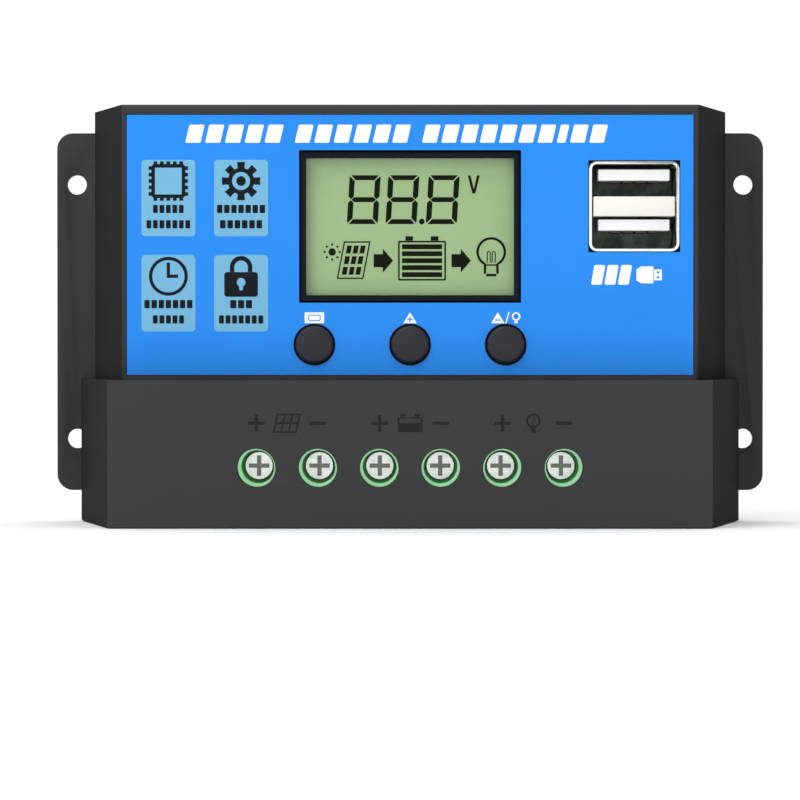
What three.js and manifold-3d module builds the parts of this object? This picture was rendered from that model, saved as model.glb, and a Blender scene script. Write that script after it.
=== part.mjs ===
// Solar charge controller for a wall: a metal back plate with ears, a moulded housing and terminal
// cover, a display with three push buttons, a double charging socket and six clamp terminals.
//
// Millimetres. X runs to the right and Z up. The wall plane is at Y = 0 and the front faces -Y, so a
// "depth" below is a distance in front of the wall, and y = -depth. The origin is the centre of the
// four mounting holes, on the wall plane.

import * as THREE from 'three';
import { mergeVertices } from 'three/addons/utils/BufferGeometryUtils.js';
import Module from 'manifold-3d';

const wasm = await Module();
wasm.setup();

// ---------------------------------------------------------------------------------------------
// Driving dimensions
// ---------------------------------------------------------------------------------------------

// Clearances
const seatGap = 0.05; // between pieces that rest on each other or are fastened together
const slideGap = 0.15; // on each side of a piece that slides
const turnGap = 0.05; // around a screw's shank, where it runs in its thread
const lapGap = 0.3; // between the housing and the cover that laps over it
const stopGap = 0.1; // left at the end of a travel

// Back plate, with pressed standoffs that carry the main board
const plateWidth = 133.5;
const plateHeight = 67.5;
const plateThickness = 2;
const plateCornerRadius = 3;
const mountHoleRadius = 1.85;
const mountHoleInset = 3.75; // from an ear's side edge to the hole's centre
const mountHoleDrop = 9.75; // from an ear's top or bottom edge to the hole's centre
const standoffHeight = 3;
const standoffWall = 1.3; // round the pocket for a case screw's head
const standoffWeb = 2; // metal under a case screw's head

// Case screws
const caseHeadRadius = 2.75;
const caseHeadHeight = 1.8;
const caseShankRadius = 1.45;
const caseScrewBite = 9; // length inside the boss
const headPocketGap = 0.35;
const pocketRadius = caseHeadRadius + headPocketGap;
const standoffRadius = pocketRadius + standoffWall;

// Front housing: its sides lean inwards towards the front
const earReach = 7.15; // ear beyond the foot of the housing's side
const housingDraft = 6.9; // how far a side leans in
const housingDepth = 28;
const housingWall = 2;
const housingTopReach = 3.95; // above the ears
const housingLap = 3.5; // length inside the terminal cover
const housingTopChamfer = 0.65;
const bossRadius = 3.3;
const bossDepthBeyondScrew = 1;
const bossSideGap = 1.4; // from a boss to the side wall, at the front
const standoffEndGap = 0.3; // from a standoff to the top or bottom wall

// Terminal cover
const coverHeight = 26.7;
const coverFlare = 2.6; // wider than the housing's foot on each side
const coverDraft = 7.3;
const coverStep = 7; // in front of the housing's face
const coverWall = 2.2;
const coverBottomReach = 5.65; // below the ears
const driverHoleMargin = 0.85; // beyond a terminal screw's head
const wireEntrySideMargin = 0.4; // beyond the clamp's wire space, on each side
const wireEntryMargin = 0.9; // beyond it, towards the back and the front
const wireEntryCornerRadius = 0.8;

// Face label
const labelThickness = 0.25;
const labelRecess = 0.4;
const labelSideRim = 0.9;
const labelTopRim = 1.9;
const labelBottomRim = 0.95;
const labelEdgeGap = 0.1;

// Display
const viewWidth = 38.1;
const viewHeight = 25.1;
const bezelSideRim = 1.1;
const bezelEndRim = 1.25;
const bezelGap = 0.15;
const bezelSink = 0.8; // below the housing's front
const displayDrop = 20.4; // from the label's top to the display's centre
const frameFlange = 2.2; // beyond the bezel on each side
const framePlate = 0.95; // plastic in front of the glass, behind the housing's wall
const frameSide = 1.5;
const glassThickness = 2.05;
const backlightThickness = 2.95;

// Display board
const displayBoardThickness = 1.2;
const displayBoardMargin = 2.7; // beyond the posts' centres
const postRadius = 2.25;
const postPinRadius = 1;
const postPinLength = 2.2;
const postPinGap = 0.12;
const postGap = 0.35;
const postRise = 10; // upper posts above the display's centre
const headerPins = 8;
const headerPitch = 2.54;
const headerPinWidth = 0.64;
const headerStripWidth = 2.5;
const headerTail = 0.8;
const pinHoleGap = 0.15;

// Buttons and their switches
const buttonRadius = 3.45;
const buttonHoleGap = 0.2;
const buttonPitch = 17.5;
const buttonRise = 5.55; // above the label's bottom edge
const buttonProud = 0.9;
const buttonEdgeRadius = 0.6;
const buttonTravel = 0.4;
const buttonFlangeLip = 0.75; // beyond the hole
const buttonFlange = 1;
const switchWidth = 6;
const switchHeight = 3.5;
const plungerRadius = 1.7;
const plungerBite = 1.95; // inside the switch's body
const switchPocketGap = 0.2; // under a plunger that is pressed home
const labelButtonGap = 0.2;

// Double charging socket
const usbWidth = 16.5;
const usbCornerRadius = 1.5;
const usbWall = 0.5;
const usbOpeningGap = 0.15;
const usbInset = 10.8; // from the label's side edge to the socket's centre
const usbBossGap = 0.35; // from the upper boss to the socket's shell
const usbSink = 0.2; // below the housing's front
const usbTongueSideGap = 1.25;
const usbTongueThickness = 2;
const usbTongueSink = 1.2;
const usbLining = 0.4; // between the upper port and the shell
const usbTongueTopGap = 0.6; // above a tongue, inside its port
const usbDividerHeight = 3.6;
const usbDividerSideGap = 0.3;
const usbRearBlock = 9;

// Main board and what is soldered to it
const boardThickness = 1.6;
const boardSideMargin = 6; // inside the foot of the housing's side
const boardEndMargin = 0.8; // inside the top and bottom walls
const capacitorRadius = 5;
const capacitorHeight = 16;
const capacitorInset = 13.6; // from the board's side edge
const capacitorGap = 2.5;
const capacitorDrop = 10; // from the upper case screws to the first capacitor
const inductorRadius = 4.5;
const inductorHeight = 6;
const inductorWaist = 3;
const transistorBody = [6.6, 2.3, 6.2];
const transistorPitch = 24;
const transistorRise = 14.6; // above the terminals' screw line
const padMargin = 2;

// Terminals: each screw draws a cage towards the front and clamps the wire on a fixed bar
const terminalNames = ['solar', 'battery', 'load'];
const polePitch = 11.17;
const poleRise = 10.8; // screw line above the cover's bottom
const blockGap = 0.1;
const blockWall = 1.2;
const blockEntryMargin = 0.1; // beyond the wire space
const blockRearReach = 7.8;
const blockCoverGap = 0.5;
const ledgeThickness = 0.8;
const collarGap = 0.5; // round a screw's head
const collarWall = 0.4;
const collarCoverGap = 2.8; // from the collar's rim to the inside of the cover
const cageSide = 1;
const cageFloor = 0.9;
const cageTop = 1;
const cageLength = 9.6;
const cageLift = 0.3; // above the board when the clamp is open
const wireSpace = 4.35;
const wireWidth = 6;
const barThickness = 0.6;
const barSideGap = 0.4;
const pinWidth = 1;
const pinTail = 0.85;
const clampTravel = 3.2;
const screwHeadRadius = 2.65;
const screwHeadHeight = 1.3;
const screwShankRadius = 1.75;
const crossMargin = 0.75; // from the recess to the head's edge
const crossWidth = 0.8;
const crossDepth = 0.75;

// Facets of round surfaces
const fineSides = 32;
const roundSides = 18;

// ---------------------------------------------------------------------------------------------
// Places that follow from the dimensions
// ---------------------------------------------------------------------------------------------

const housingTop = plateHeight / 2 + housingTopReach;
const coverBottom = -plateHeight / 2 - coverBottomReach;
const coverTop = coverBottom + coverHeight;
const coverDepth = housingDepth + coverStep;
const footDepth = plateThickness + seatGap;

const housingBody = {
  back: plateWidth / 2 - earReach,
  front: plateWidth / 2 - earReach - housingDraft,
  near: footDepth,
  far: housingDepth,
};
const coverBody = {
  back: housingBody.back + coverFlare,
  front: housingBody.back + coverFlare - coverDraft,
  near: footDepth,
  far: coverDepth,
};

const boardBack = plateThickness + standoffHeight + seatGap;
const boardFront = boardBack + boardThickness;
const boardHalfWidth = housingBody.back - boardSideMargin;
const boardTop = housingTop - housingWall - boardEndMargin;
const boardBottom = coverBottom + coverWall + boardEndMargin;

const labelTop = housingTop - labelTopRim;
const labelBottom = coverTop + labelBottomRim;
const labelHalfWidth = housingBody.front - labelSideRim;
const labelBack = housingDepth - labelRecess + seatGap;
const frontWallBack = housingDepth - housingWall;

const displayZ = labelTop - displayDrop;
const bezelWidth = viewWidth + 2 * bezelSideRim;
const bezelHeight = viewHeight + 2 * bezelEndRim;
const frameHalfWidth = bezelWidth / 2 + frameFlange;
const frameHalfHeight = bezelHeight / 2 + frameFlange;
const frameFront = frontWallBack - seatGap;
const glassFront = frameFront - framePlate - seatGap;
const backlightFront = glassFront - glassThickness - seatGap;
const displayBoardFront = backlightFront - backlightThickness - seatGap;
const displayBoardBack = displayBoardFront - displayBoardThickness;

const buttonZ = labelBottom + buttonRise;
const buttonNames = ['menu', 'up', 'down'];
const buttonHoleRadius = buttonRadius + buttonHoleGap;
const buttonFlangeRadius = buttonHoleRadius + buttonFlangeLip;
const switchFront = displayBoardFront + seatGap + switchHeight;
const flangeFront = frontWallBack - seatGap;
const flangeBack = flangeFront - buttonFlange;

const postX = frameHalfWidth + postGap + postRadius;
const postPlaces = [];
for (const side of [-1, 1]) {
  postPlaces.push([side * postX, displayZ + postRise], [side * postX, buttonZ]);
}

const poleZ = coverBottom + poleRise;
const poleCount = 2 * terminalNames.length;
const poleX = (index) => (index - (poleCount - 1) / 2) * polePitch;
const blockBack = boardFront + seatGap;
const cageBack = boardFront + cageLift;
const wireBack = cageBack + cageFloor;
const barBack = wireBack + wireSpace;
const barFront = barBack + barThickness;
const cageTopBack = barFront + slideGap;
const cageFront = cageTopBack + cageTop;
const ledgeBack = cageFront + clampTravel + stopGap;
const ledgeFront = ledgeBack + ledgeThickness;
const headBack = ledgeFront + seatGap;
const headFront = headBack + screwHeadHeight;
const collarRadius = screwHeadRadius + collarGap + collarWall;
const collarFront = coverDepth - coverWall - collarCoverGap;
const driverHoleRadius = screwHeadRadius + driverHoleMargin;
const cageHalfWidth = wireWidth / 2 + cageSide;
const chamberHalfWidth = cageHalfWidth + slideGap;
const blockLow = coverBottom + coverWall + blockCoverGap - poleZ;
const chamberLow = blockLow + blockWall;
const chamberHigh = blockRearReach - blockWall;

const bossPlaces = {
  housing: [],
  cover: [],
};
const housingBossX = housingBody.front - housingWall - bossSideGap - bossRadius;
const housingBossZ = housingTop - housingWall - standoffEndGap - standoffRadius;
const coverBossX = coverBody.front - coverWall - bossSideGap - bossRadius;
const coverBossZ = coverBottom + coverWall + standoffEndGap + standoffRadius;
for (const side of [-1, 1]) {
  bossPlaces.housing.push([side * housingBossX, housingBossZ]);
  bossPlaces.cover.push([side * coverBossX, coverBossZ]);
}
const allBosses = [...bossPlaces.housing, ...bossPlaces.cover];

const usbHalf = usbWidth / 2;
const usbInnerHalf = usbHalf - usbWall;
const usbOpening = usbWidth + 2 * usbOpeningGap;
const usbX = labelHalfWidth - usbInset;
const usbZ = housingBossZ - bossRadius - usbBossGap - usbHalf;
const usbFront = housingDepth - usbSink;
const usbBack = boardFront + seatGap;

const headerPinX = [];
for (let index = 0; index < headerPins; index += 1) {
  headerPinX.push((index - (headerPins - 1) / 2) * headerPitch);
}
const headerZ = displayZ + postRise;
const headerHoleWidth = headerPinWidth + 2 * pinHoleGap;
const pinHoleRadius = pinWidth * Math.SQRT1_2 + pinHoleGap;

// ---------------------------------------------------------------------------------------------
// Solids
// ---------------------------------------------------------------------------------------------

// A closed three.js geometry as a solid; triangles that shrink to a line at an axis are dropped.
function solidOf(geometry) {
  const bare = geometry.clone();
  bare.deleteAttribute('normal');
  bare.deleteAttribute('uv');
  const merged = mergeVertices(bare, 1e-4);
  const corners = merged.getIndex().array;
  const triangles = [];
  for (let start = 0; start < corners.length; start += 3) {
    const [a, b, c] = corners.slice(start, start + 3);
    if (a !== b && b !== c && c !== a) {
      triangles.push(a, b, c);
    }
  }
  const mesh = new wasm.Mesh({
    numProp: 3,
    vertProperties: Float32Array.from(merged.getAttribute('position').array),
    triVerts: Uint32Array.from(triangles),
  });
  return new wasm.Manifold(mesh);
}

function geometryOf(solid) {
  const { vertProperties, triVerts } = solid.getMesh();
  const geometry = new THREE.BufferGeometry();
  geometry.setAttribute('position', new THREE.BufferAttribute(vertProperties, 3));
  geometry.setIndex(new THREE.BufferAttribute(triVerts, 1));
  geometry.computeVertexNormals();
  return geometry;
}

function joined(first, ...others) {
  return others.reduce((whole, piece) => whole.add(piece), first);
}

function cut(solid, ...tools) {
  return tools.reduce((rest, tool) => rest.subtract(tool), solid);
}

// A box between two limits on each axis.
function block([left, right], [near, far], [low, high]) {
  const geometry = new THREE.BoxGeometry(right - left, far - near, high - low);
  geometry.translate((left + right) / 2, -(near + far) / 2, (low + high) / 2);
  return solidOf(geometry);
}

// A box centred on x and z.
function centredBlock(x, z, width, height, near, far) {
  return block([x - width / 2, x + width / 2], [near, far], [z - height / 2, z + height / 2]);
}

// A round bar whose axis points at the wall.
function rod(x, z, radius, near, far, sides = roundSides) {
  const geometry = new THREE.CylinderGeometry(radius, radius, far - near, sides);
  geometry.translate(x, -(near + far) / 2, z);
  return solidOf(geometry);
}

// A turned piece about an axis that points at the wall: [radius, depth] pairs from back to front.
function turned(profile, sides = roundSides) {
  const points = profile.map(([radius, depth]) => new THREE.Vector2(radius, -depth));
  return solidOf(new THREE.LatheGeometry(points.reverse(), sides));
}

// An X-Z outline made into a plate between two depths.
function plate(outline, near, far, curveSegments = 6) {
  const options = { depth: far - near, bevelEnabled: false, curveSegments };
  const geometry = new THREE.ExtrudeGeometry(outline, options);
  geometry.translate(0, 0, near);
  geometry.rotateX(Math.PI / 2);
  return solidOf(geometry);
}

// An outline of x and depth made into a bar between two heights.
function upright(outline, low, high, curveSegments = 4) {
  const options = { depth: high - low, bevelEnabled: false, curveSegments };
  const geometry = new THREE.ExtrudeGeometry(outline, options);
  geometry.translate(0, 0, low);
  return solidOf(geometry);
}

function roundedRectangle(x, y, width, height, radius, target = new THREE.Shape()) {
  const right = x + width / 2 - radius;
  const left = x - width / 2 + radius;
  const top = y + height / 2 - radius;
  const bottom = y - height / 2 + radius;
  target.absarc(right, top, radius, 0, Math.PI / 2);
  target.absarc(left, top, radius, Math.PI / 2, Math.PI);
  target.absarc(left, bottom, radius, Math.PI, 1.5 * Math.PI);
  target.absarc(right, bottom, radius, 1.5 * Math.PI, 2 * Math.PI);
  target.closePath();
  return target;
}

function rectanglePath(x, z, width, height) {
  const path = new THREE.Path();
  path.moveTo(x - width / 2, z - height / 2);
  path.lineTo(x + width / 2, z - height / 2);
  path.lineTo(x + width / 2, z + height / 2);
  path.lineTo(x - width / 2, z + height / 2);
  path.closePath();
  return path;
}

// Half the width of a leaning body at a depth.
function halfWidthAt(body, depth) {
  const share = (depth - body.near) / (body.far - body.near);
  return body.back + (body.front - body.back) * share;
}

// A body with leaning sides, grown by a margin measured square to its sides and front.
function leaningBody(body, margin, near, low, high) {
  const lean = (body.back - body.front) / (body.far - body.near);
  const sideways = margin * Math.hypot(1, lean);
  const far = body.far + margin;
  const outline = new THREE.Shape();
  outline.moveTo(-halfWidthAt(body, near) - sideways, -near);
  outline.lineTo(-halfWidthAt(body, far) - sideways, -far);
  outline.lineTo(halfWidthAt(body, far) + sideways, -far);
  outline.lineTo(halfWidthAt(body, near) + sideways, -near);
  outline.closePath();
  return upright(outline, low, high);
}

// ---------------------------------------------------------------------------------------------
// Pieces
// ---------------------------------------------------------------------------------------------

const finishes = {
  paintedMetal: { color: 0x303032, roughness: 0.5, metalness: 0.3 },
  blackPlastic: { color: 0x38383a, roughness: 0.55, metalness: 0 },
  bezelPlastic: { color: 0x0c161e, roughness: 0.35, metalness: 0 },
  buttonPlastic: { color: 0x373237, roughness: 0.4, metalness: 0 },
  whitePlastic: { color: 0xe8e8e2, roughness: 0.5, metalness: 0 },
  greenPlastic: { color: 0x59a06a, roughness: 0.45, metalness: 0 },
  label: { color: 0x2d8ae9, roughness: 0.4, metalness: 0 },
  displayGlass: { color: 0x95b57c, roughness: 0.15, metalness: 0 },
  steel: { color: 0xc4c6c4, roughness: 0.3, metalness: 1 },
  copper: { color: 0xc9a878, roughness: 0.35, metalness: 1 },
  circuitBoard: { color: 0x1f5a34, roughness: 0.5, metalness: 0 },
  chipPlastic: { color: 0x1c1c1e, roughness: 0.6, metalness: 0 },
  capacitorSleeve: { color: 0x23252b, roughness: 0.4, metalness: 0 },
  ferrite: { color: 0x3b3b3d, roughness: 0.8, metalness: 0 },
  siliconePad: { color: 0x8f979c, roughness: 0.9, metalness: 0 },
};

const controller = new THREE.Group();
controller.name = 'charge_controller';

function add(name, solid, finish, x = 0, z = 0) {
  const material = new THREE.MeshStandardMaterial(finishes[finish]);
  const mesh = new THREE.Mesh(geometryOf(solid), material);
  mesh.name = name;
  mesh.position.set(x, 0, z);
  controller.add(mesh);
}

// Back plate: the area behind the housing and the cover, with an ear on each side.
function makeBackPlate() {
  const halfWidth = plateWidth / 2;
  const halfHeight = plateHeight / 2;
  const arc = plateCornerRadius;
  const outline = new THREE.Shape();
  outline.moveTo(-coverBody.back, coverBottom);
  outline.lineTo(coverBody.back, coverBottom);
  outline.lineTo(coverBody.back, -halfHeight);
  outline.absarc(halfWidth - arc, -halfHeight + arc, arc, 1.5 * Math.PI, 2 * Math.PI);
  outline.absarc(halfWidth - arc, halfHeight - arc, arc, 0, Math.PI / 2);
  outline.lineTo(housingBody.back, halfHeight);
  outline.lineTo(housingBody.back, housingTop);
  outline.lineTo(-housingBody.back, housingTop);
  outline.lineTo(-housingBody.back, halfHeight);
  outline.absarc(-halfWidth + arc, halfHeight - arc, arc, Math.PI / 2, Math.PI);
  outline.absarc(-halfWidth + arc, -halfHeight + arc, arc, Math.PI, 1.5 * Math.PI);
  outline.lineTo(-coverBody.back, -halfHeight);
  outline.closePath();

  let solid = plate(outline, 0, plateThickness);
  const pocketDepth = plateThickness + standoffHeight - standoffWeb;
  for (const [x, z] of allBosses) {
    const standoff = rod(x, z, standoffRadius, plateThickness / 2, plateThickness + standoffHeight);
    const pocket = rod(x, z, pocketRadius, -1, pocketDepth);
    const hole = rod(x, z, caseShankRadius + slideGap, 0, boardBack);
    solid = cut(solid.add(standoff), pocket, hole);
  }
  for (const side of [-1, 1]) {
    for (const level of [-1, 1]) {
      const x = side * (halfWidth - mountHoleInset);
      const z = level * (halfHeight - mountHoleDrop);
      solid = cut(solid, rod(x, z, mountHoleRadius, -1, plateThickness + 1, fineSides));
    }
  }
  return solid;
}

// A boss from the main board to a front wall, with a blind hole for the case screw.
function boss(x, z, wallBack) {
  const holeEnd = boardFront + caseScrewBite + bossDepthBeyondScrew;
  const post = rod(x, z, bossRadius, boardFront + seatGap, wallBack + housingWall / 2);
  const hole = rod(x, z, caseShankRadius + turnGap, boardFront, holeEnd);
  return { post, hole };
}

// Front housing: open at the back and at its lower end, which slips into the terminal cover.
function makeFrontHousing() {
  const low = coverTop - housingLap;
  const shell = leaningBody(housingBody, 0, housingBody.near, low, housingTop);
  const cavity = leaningBody(housingBody, -housingWall, 0, low - 1, housingTop - housingWall);

  const chamfer = new THREE.BoxGeometry(
    2 * housingBody.back,
    housingTopChamfer * Math.SQRT2,
    housingTopChamfer * Math.SQRT2,
  );
  chamfer.rotateX(Math.PI / 4);
  chamfer.translate(0, -housingDepth, housingTop);

  const label = block(
    [-labelHalfWidth - labelEdgeGap, labelHalfWidth + labelEdgeGap],
    [housingDepth - labelRecess, housingDepth + 1],
    [labelBottom - labelEdgeGap, labelTop + labelEdgeGap],
  );
  const through = [frontWallBack - 1, housingDepth + 1];
  const display = centredBlock(
    0, displayZ, bezelWidth + 2 * bezelGap, bezelHeight + 2 * bezelGap, ...through,
  );
  const socket = centredBlock(usbX, usbZ, usbOpening, usbOpening, ...through);

  let solid = cut(shell, cavity, solidOf(chamfer), label, display, socket);
  for (const index of [-1, 0, 1]) {
    solid = cut(solid, rod(index * buttonPitch, buttonZ, buttonHoleRadius, ...through, fineSides));
  }
  for (const [x, z] of bossPlaces.housing) {
    const { post, hole } = boss(x, z, frontWallBack);
    solid = cut(solid.add(post), hole);
  }
  for (const [x, z] of postPlaces) {
    const post = rod(x, z, postRadius, displayBoardFront + seatGap, frontWallBack + housingWall / 2);
    const pin = rod(x, z, postPinRadius, displayBoardFront - postPinLength, frontWallBack, 12);
    solid = joined(solid, post, pin);
  }
  return solid;
}

// Terminal cover: it laps over the housing's lower end and has holes for a driver and for wires.
function makeTerminalCover() {
  const shell = leaningBody(coverBody, 0, coverBody.near, coverBottom, coverTop);
  const cavity = leaningBody(coverBody, -coverWall, 0, coverBottom + coverWall, coverTop - coverWall);
  const passage = leaningBody(housingBody, lapGap, 0, coverTop - coverWall - 1, coverTop + 1);
  let solid = cut(shell, cavity, passage);

  const entryWidth = wireWidth + 2 * wireEntrySideMargin;
  const entryHeight = wireSpace + 2 * wireEntryMargin;
  for (let index = 0; index < poleCount; index += 1) {
    const x = poleX(index);
    const driver = rod(x, poleZ, driverHoleRadius, coverDepth - coverWall - 1, coverDepth + 1, fineSides);
    const entry = upright(
      roundedRectangle(x, -(wireBack + barBack) / 2, entryWidth, entryHeight, wireEntryCornerRadius),
      coverBottom - 1,
      coverBottom + coverWall + 1,
    );
    solid = cut(solid, driver, entry);
  }
  for (const [x, z] of bossPlaces.cover) {
    const { post, hole } = boss(x, z, coverDepth - coverWall);
    solid = cut(solid.add(post), hole);
  }
  return solid;
}

// Printed film in the housing's recess.
function makeFaceLabel() {
  const outline = new THREE.Shape();
  outline.moveTo(-labelHalfWidth, labelBottom);
  outline.lineTo(labelHalfWidth, labelBottom);
  outline.lineTo(labelHalfWidth, labelTop);
  outline.lineTo(-labelHalfWidth, labelTop);
  outline.closePath();
  outline.holes.push(rectanglePath(0, displayZ, bezelWidth + 2 * bezelGap, bezelHeight + 2 * bezelGap));
  outline.holes.push(rectanglePath(usbX, usbZ, usbOpening, usbOpening));
  for (const index of [-1, 0, 1]) {
    const hole = new THREE.Path();
    hole.absarc(index * buttonPitch, buttonZ, buttonHoleRadius + labelButtonGap, 0, 2 * Math.PI);
    outline.holes.push(hole);
  }
  return plate(outline, labelBack, labelBack + labelThickness, 20);
}

// Display frame: a bezel that stands in the housing's window, and walls round glass and backlight.
function makeDisplayFrame() {
  const back = displayBoardFront + seatGap;
  const walls = centredBlock(0, displayZ, 2 * frameHalfWidth, 2 * frameHalfHeight, back, frameFront);
  const bezelFront = housingDepth - bezelSink;
  const bezel = centredBlock(0, displayZ, bezelWidth, bezelHeight, frameFront - framePlate, bezelFront);
  const pocket = centredBlock(
    0,
    displayZ,
    2 * (frameHalfWidth - frameSide),
    2 * (frameHalfHeight - frameSide),
    back - 1,
    frameFront - framePlate,
  );
  const view = centredBlock(0, displayZ, viewWidth, viewHeight, back - 1, housingDepth);
  return cut(joined(walls, bezel), pocket, view);
}

function inDisplayFrame(near, far) {
  const width = 2 * (frameHalfWidth - frameSide - slideGap);
  const height = 2 * (frameHalfHeight - frameSide - slideGap);
  return centredBlock(0, displayZ, width, height, near, far);
}

function makeDisplayBoard() {
  const halfWidth = postX + displayBoardMargin;
  const top = displayZ + frameHalfHeight;
  const bottom = buttonZ - switchWidth / 2 - displayBoardMargin / 2;
  let solid = block([-halfWidth, halfWidth], [displayBoardBack, displayBoardFront], [bottom, top]);
  const through = [displayBoardBack - 1, displayBoardFront + 1];
  for (const [x, z] of postPlaces) {
    solid = cut(solid, rod(x, z, postPinRadius + postPinGap, ...through, 16));
  }
  for (const x of headerPinX) {
    solid = cut(solid, centredBlock(x, headerZ, headerHoleWidth, headerHoleWidth, ...through));
  }
  return solid;
}

// Pin header between the two boards: one plastic strip with its row of pins.
function makePinHeader() {
  const length = headerPins * headerPitch;
  const stripFront = boardFront + seatGap + headerStripWidth;
  let solid = centredBlock(0, headerZ, length, headerStripWidth, boardFront + seatGap, stripFront);
  const pinBack = boardBack - headerTail;
  const pinFront = displayBoardFront + seatGap;
  for (const x of headerPinX) {
    solid = solid.add(centredBlock(x, headerZ, headerPinWidth, headerPinWidth, pinBack, pinFront));
  }
  return solid;
}

// Button cap about its own axis: a flange behind the wall and a round cap through it.
function makeButtonCap() {
  const front = housingDepth + buttonProud;
  const profile = [
    [0, flangeBack],
    [buttonFlangeRadius, flangeBack],
    [buttonFlangeRadius, flangeFront],
    [buttonRadius, flangeFront],
  ];
  const steps = 4;
  for (let step = 0; step <= steps; step += 1) {
    const angle = (step / steps) * (Math.PI / 2);
    profile.push([
      buttonRadius - buttonEdgeRadius * (1 - Math.cos(angle)),
      front - buttonEdgeRadius * (1 - Math.sin(angle)),
    ]);
  }
  profile.push([0, front]);
  return turned(profile, fineSides);
}

function makeSwitchPlunger() {
  return rod(0, 0, plungerRadius, switchFront - plungerBite, flangeBack - seatGap);
}

function makeSwitchBody() {
  const back = displayBoardFront + seatGap;
  const body = centredBlock(0, 0, switchWidth, switchWidth, back, switchFront);
  const pocketBack = switchFront - plungerBite - buttonTravel - switchPocketGap;
  const pocket = rod(0, 0, plungerRadius + slideGap, pocketBack, switchFront + 1);
  return cut(body, pocket);
}

// Charging socket: a folded steel shell round two ports.
function makeUsbShell() {
  const outer = roundedRectangle(usbX, usbZ, usbWidth, usbWidth, usbCornerRadius);
  const inner = roundedRectangle(
    usbX, usbZ, 2 * usbInnerHalf, 2 * usbInnerHalf, usbCornerRadius - usbWall, new THREE.Path(),
  );
  outer.holes.push(inner);
  return plate(outer, usbBack, usbFront, 5);
}

// The moulding that fills the shell's back and carries a tongue in each port.
function makeUsbInsulator() {
  const size = 2 * (usbInnerHalf - slideGap);
  const outline = roundedRectangle(usbX, usbZ, size, size, usbCornerRadius - usbWall);
  const rear = plate(outline, usbBack, usbBack + usbRearBlock, 5);
  const width = 2 * (usbInnerHalf - usbTongueSideGap);
  const length = [usbBack + usbRearBlock / 2, usbFront - usbTongueSink];
  const tongues = [usbInnerHalf - usbLining, -usbDividerHeight / 2].map((portTop) => {
    const z = usbZ + portTop - usbTongueTopGap - usbTongueThickness / 2;
    return centredBlock(usbX, z, width, usbTongueThickness, ...length);
  });
  return joined(rear, ...tongues);
}

function makeUsbDivider() {
  const width = 2 * (usbInnerHalf - usbDividerSideGap);
  const near = usbBack + usbRearBlock + seatGap;
  return centredBlock(usbX, usbZ, width, usbDividerHeight, near, usbFront - usbSink);
}

function makeMainBoard() {
  let solid = block(
    [-boardHalfWidth, boardHalfWidth],
    [boardBack, boardFront],
    [boardBottom, boardTop],
  );
  const through = [boardBack - 1, boardFront + 1];
  for (const [x, z] of allBosses) {
    solid = cut(solid, rod(x, z, caseShankRadius + slideGap, ...through));
  }
  for (let index = 0; index < poleCount; index += 1) {
    const z = poleZ + chamberHigh - seatGap - pinWidth / 2;
    solid = cut(solid, rod(poleX(index), z, pinHoleRadius, ...through, 12));
  }
  for (const x of headerPinX) {
    solid = cut(solid, centredBlock(x, headerZ, headerHoleWidth, headerHoleWidth, ...through));
  }
  return solid;
}

// Terminal block for two poles, about the middle of the two: open towards the board, with a
// chamber for each cage, a ledge under each screw head and a collar round it.
function makeTerminalBlock() {
  const halfWidth = polePitch - blockGap;
  const entryHalfWidth = wireWidth / 2 + blockEntryMargin;
  let solid = block([-halfWidth, halfWidth], [blockBack, ledgeFront], [blockLow, blockRearReach]);
  for (const x of [-polePitch / 2, polePitch / 2]) {
    const chamber = block(
      [x - chamberHalfWidth, x + chamberHalfWidth],
      [blockBack - 1, ledgeBack],
      [chamberLow, chamberHigh],
    );
    const entry = block(
      [x - entryHalfWidth, x + entryHalfWidth],
      [wireBack - stopGap, barBack + stopGap],
      [blockLow - 1, chamberLow + 1],
    );
    const collar = rod(x, 0, collarRadius, ledgeBack, collarFront, fineSides);
    const headBore = rod(x, 0, collarRadius - collarWall, ledgeFront, collarFront + 1, fineSides);
    const shankHole = rod(x, 0, screwShankRadius + slideGap, ledgeBack - 1, ledgeFront + 1);
    solid = cut(solid.add(collar), chamber, entry, headBore, shankHole);
  }
  return solid;
}

function crossRecess(headRadius, near, far) {
  const length = 2 * (headRadius - crossMargin);
  return [
    centredBlock(0, 0, length, crossWidth, near, far),
    centredBlock(0, 0, crossWidth, length, near, far),
  ];
}

// Terminal screw about its own axis, with a cross recess.
function makeTerminalScrew() {
  const tip = barFront + stopGap;
  const chamfer = 0.35;
  const body = turned([
    [0, tip],
    [screwShankRadius - chamfer, tip],
    [screwShankRadius, tip + chamfer],
    [screwShankRadius, headBack],
    [screwHeadRadius, headBack],
    [screwHeadRadius, headFront - chamfer],
    [screwHeadRadius - chamfer, headFront],
    [0, headFront],
  ]);
  return cut(body, ...crossRecess(screwHeadRadius, headFront - crossDepth, headFront + 1));
}

// Clamp cage about the screw's axis: a square ring that the wire and the fixed bar pass through.
function makeClampCage() {
  const ring = centredBlock(0, 0, 2 * cageHalfWidth, cageLength, cageBack, cageFront);
  const hollow = centredBlock(0, 0, wireWidth, cageLength + 2, wireBack, cageTopBack);
  const thread = rod(0, 0, screwShankRadius + turnGap, cageTopBack - 1, cageFront + 1);
  return cut(ring, hollow, thread);
}

// Contact bar about the screw's axis: fixed in the block, with a pin down into the board.
function makeContactBar() {
  const high = chamberHigh - seatGap;
  const halfWidth = wireWidth / 2 - barSideGap;
  const bar = block([-halfWidth, halfWidth], [barBack, barFront], [chamberLow + seatGap, high]);
  const pin = block(
    [-pinWidth / 2, pinWidth / 2],
    [boardBack - pinTail, barFront],
    [high - pinWidth, high],
  );
  return bar.add(pin);
}

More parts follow.
